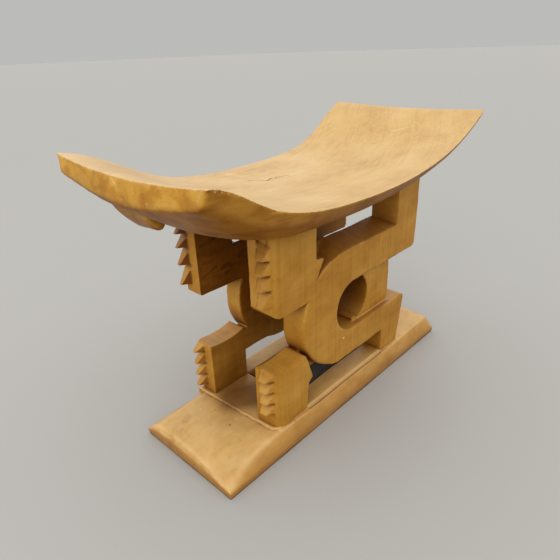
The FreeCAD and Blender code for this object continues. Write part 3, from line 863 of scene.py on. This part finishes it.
def wood(name, look):
    """Pale carved wood: rings, fibres and tool bands make its tone; wear and shade tint it."""
    material = bpy.data.materials.new(name)
    graph = Graph(material)
    fibre = graph.noise(FIBRE)
    bands = graph.noise(TOOL_BANDS)
    tone = toned(graph, ((ring_figure(graph), look.figure), (fibre, look.fibre), (bands, look.bands),
                         (graph.noise(BLOTCHES), look.blotches), (graph.noise(MOTTLE), look.mottle)))
    normal = graph.add("ShaderNodeNewGeometry").outputs["Normal"]
    facing = graph.add("ShaderNodeSeparateXYZ", {0: normal}).outputs[2]
    colour = turned(graph, coloured(graph, tone, look), facing, look)
    colour = rubbed(graph, colour, facing, look)
    colour = shaded(graph, marked(graph, colour, look.marks))

    height = graph.maths("ADD", graph.maths("MULTIPLY", fibre, 0.5), graph.maths("MULTIPLY", bands, 0.5))
    relief = graph.add("ShaderNodeBump", {"Height": height, "Strength": RELIEF_STRENGTH,
                                          "Distance": RELIEF_DEPTH})
    rough = graph.add("ShaderNodeMapRange", {"Value": tone, "To Min": look.roughness + ROUGHER,
                                             "To Max": look.roughness - SMOOTHER})
    shine = graph.spread(facing, *SHINY_FACING, look.side_shine, TOP_SHINE)
    shader = graph.add("ShaderNodeBsdfPrincipled", {"Base Color": colour,
                                                    "Roughness": rough.outputs["Result"],
                                                    "Normal": relief.outputs[0],
                                                    "Specular IOR Level": shine})
    graph.add("ShaderNodeOutputMaterial", {"Surface": shader.outputs[0]})
    return material


WOOD = {name: wood(name, look) for name, look in LOOKS.items()}


# ---------------------------------------------------------------- pieces

@dataclass
class Member:
    """One carved member: the CAD nodes it stands for and how it is made."""
    nodes: tuple
    slot: str
    voxel: float
    softness: object
    rounds: int
    tooling: object
    contacts: tuple = ()
    inner_shade: float = 0.0


def closed_surface(member):
    """The member's nodes in one mesh, each lengthened into the neighbours it grows out of."""
    together = bmesh.new()
    for node in member.nodes:
        surface = joined_copy(node)
        for owner, neighbours, direction in member.contacts:
            if owner == node:
                lengthen(surface, neighbours, direction)
        part = bpy.data.meshes.new(node)
        surface.to_mesh(part)
        surface.free()
        together.from_mesh(part)
        bpy.data.meshes.remove(part)
    return together


def make_piece(member):
    """Carved copy of a member, standing for its CAD nodes."""
    piece = remeshed(closed_surface(member), "carved_" + member.nodes[0], member.voxel)
    carve(piece, member)
    piece.data.set_sharp_from_angle(angle=CREASE_ANGLE)
    piece.data.materials.clear()
    piece.data.materials.append(WOOD[member.slot])
    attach(piece, "root")
    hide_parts(*member.nodes)


def block_member(node, neighbour, direction):
    return Member((node,), "panel_wood", voxel=1.0 * MM, softness=panel_softness, rounds=4,
                  tooling=panel_tooling, contacts=((node, [neighbour], direction),), inner_shade=1.0)


def ring_member(ring, filler, upper, lower):
    """The ring and the block in its mouth share the wall of the hole, so they are carved as one."""
    contacts = ((ring, ["seat"], UP), (ring, ["base_board"], DOWN),
                (ring, [upper, lower], TO_TOOTHED_END), (filler, [ring], UP), (filler, [ring], DOWN))
    return Member((ring, filler), "panel_wood", voxel=1.4 * MM, softness=ring_softness, rounds=14,
                  tooling=panel_tooling, contacts=contacts, inner_shade=1.0)


def core_member():
    contacts = (("bored_core", ["near_ring", "near_filler"], TO_NEAR_SIDE),
                ("bored_core", ["far_ring", "far_filler"], TO_FAR_SIDE))
    return Member(("bored_core",), "panel_wood", voxel=1.4 * MM, softness=even(CORE_WEAR), rounds=14,
                  tooling=core_tooling, contacts=contacts, inner_shade=1.0)


def make_stool():
    make_piece(Member(("seat",), "seat_wood", voxel=1.5 * MM, softness=seat_softness, rounds=60,
                      tooling=seat_tooling))
    make_piece(Member(("seat_lug",), "seat_wood", voxel=1.2 * MM, softness=even(LUG_WEAR), rounds=16,
                      tooling=seat_tooling, contacts=(("seat_lug", ["seat"], UP),)))
    make_piece(Member(("base_board",), "base_wood", voxel=1.3 * MM, softness=base_softness, rounds=34,
                      tooling=base_tooling))
    make_piece(core_member())
    for side in ("near_", "far_"):
        upper, lower = side + "upper_block", side + "lower_block"
        make_piece(block_member(upper, "seat", UP))
        make_piece(block_member(lower, "base_board", DOWN))
        make_piece(ring_member(side + "ring", side + "filler", upper, lower))


# ---------------------------------------------------------------- stage

FLOOR_SIZE = 80.0
FLOOR_COLOUR = (0.42, 0.42, 0.41)
FLOOR_SHADE = (0.03, 0.03, 0.03)
FLOOR_REACH = 150 * MM
FLOOR_AIR = (0.46, 0.30)
FLOOR_ROUGHNESS = 0.75
BACKDROP = (0.50, 0.50, 0.49)

# The room is bright above its horizon and dim below it
ROOM_LIGHT = (1.0, 0.975, 0.94, 1)
HORIZON = (-0.05, 0.2)
ROOM_BELOW = 0.15
ROOM_ABOVE = 1.15

WINDOW_PLACE = (-2.2, -0.9, 1.5)
WINDOW_TARGET = (0, 0, 0.2)
WINDOW_SIZE = 1.6
WINDOW_POWER = 16
WINDOW_COLOUR = (1.0, 0.97, 0.92)


def floor_paint():
    """Plain pale paint, darker where something close above shuts the light out."""
    material = bpy.data.materials.new("floor_paint")
    graph = Graph(material)
    shut = graph.spread(graph.open_air(FLOOR_REACH, samples=12), *FLOOR_AIR)
    colour = graph.blend(shut, FLOOR_COLOUR, FLOOR_SHADE)
    shader = graph.add("ShaderNodeBsdfPrincipled", {"Base Color": colour,
                                                    "Roughness": FLOOR_ROUGHNESS})
    graph.add("ShaderNodeOutputMaterial", {"Surface": shader.outputs[0]})
    return material


def make_floor():
    floor = bpy.data.meshes.new("floor")
    half = FLOOR_SIZE / 2
    corners = [(-half, -half, 0), (half, -half, 0), (half, half, 0), (-half, half, 0)]
    floor.from_pydata(corners, [], [(0, 1, 2, 3)])
    floor.materials.append(floor_paint())
    piece = bpy.data.objects.new("floor", floor)
    bpy.context.scene.collection.objects.link(piece)


def make_light(name, place, target, size, power, colour):
    lamp = bpy.data.lights.new(name, "AREA")
    lamp.shape = "DISK"
    lamp.size = size
    lamp.energy = power
    lamp.color = colour
    light = bpy.data.objects.new(name, lamp)
    light.location = place
    light.rotation_euler = (Vector(target) - Vector(place)).to_track_quat("-Z", "Y").to_euler()
    bpy.context.scene.collection.objects.link(light)


def make_world():
    """Soft light from a pale room, with little from below. The camera sees it as plain backdrop."""
    world = bpy.data.worlds.new("studio")
    graph = Graph(world)
    height = graph.add("ShaderNodeSeparateXYZ",
                       {0: graph.add("ShaderNodeTexCoord").outputs["Generated"]}).outputs[2]
    strength = graph.spread(height, *HORIZON, ROOM_BELOW, ROOM_ABOVE)
    room = graph.add("ShaderNodeBackground", {"Color": ROOM_LIGHT, "Strength": strength})
    backdrop = graph.add("ShaderNodeBackground", {"Color": (*BACKDROP, 1)})
    seen = graph.add("ShaderNodeLightPath").outputs["Is Camera Ray"]
    both = graph.add("ShaderNodeMixShader", {0: seen, 1: room.outputs[0], 2: backdrop.outputs[0]})
    graph.add("ShaderNodeOutputWorld", {"Surface": both.outputs[0]})
    bpy.context.scene.world = world


def make_lights():
    make_world()
    make_light("window", WINDOW_PLACE, WINDOW_TARGET, WINDOW_SIZE, WINDOW_POWER, WINDOW_COLOUR)


# Camera, as fitted to the photograph's view: direction from the stool, roll, place and focal length
CAMERA_AZIMUTH = math.radians(-46.13)
CAMERA_ELEVATION = math.radians(25.60)
CAMERA_ROLL = math.radians(-2.10)
CAMERA_PLACE = Vector((-0.4769, -0.4012, 0.4644))
SENSOR_WIDTH = 36.0
FOCAL_LENGTH = 31.15
NEAREST_SEEN = 0.01


def make_camera():
    back = Vector((math.sin(CAMERA_AZIMUTH) * math.cos(CAMERA_ELEVATION),
                   -math.cos(CAMERA_AZIMUTH) * math.cos(CAMERA_ELEVATION),
                   math.sin(CAMERA_ELEVATION)))
    right = UP.cross(back).normalized()
    up = back.cross(right)
    turned_right = right * math.cos(CAMERA_ROLL) + up * math.sin(CAMERA_ROLL)
    turned_up = up * math.cos(CAMERA_ROLL) - right * math.sin(CAMERA_ROLL)
    lens = bpy.data.cameras.new("camera")
    lens.sensor_width = SENSOR_WIDTH
    lens.lens = FOCAL_LENGTH
    lens.clip_start = NEAREST_SEEN
    camera = bpy.data.objects.new("camera", lens)
    camera.matrix_world = (Matrix.Translation(CAMERA_PLACE)
                           @ Matrix((turned_right, turned_up, back)).transposed().to_4x4())
    bpy.context.scene.collection.objects.link(camera)
    bpy.context.scene.camera = camera


bpy.context.scene.view_settings.view_transform = "Standard"
make_stool()
make_floor()
make_lights()
make_camera()
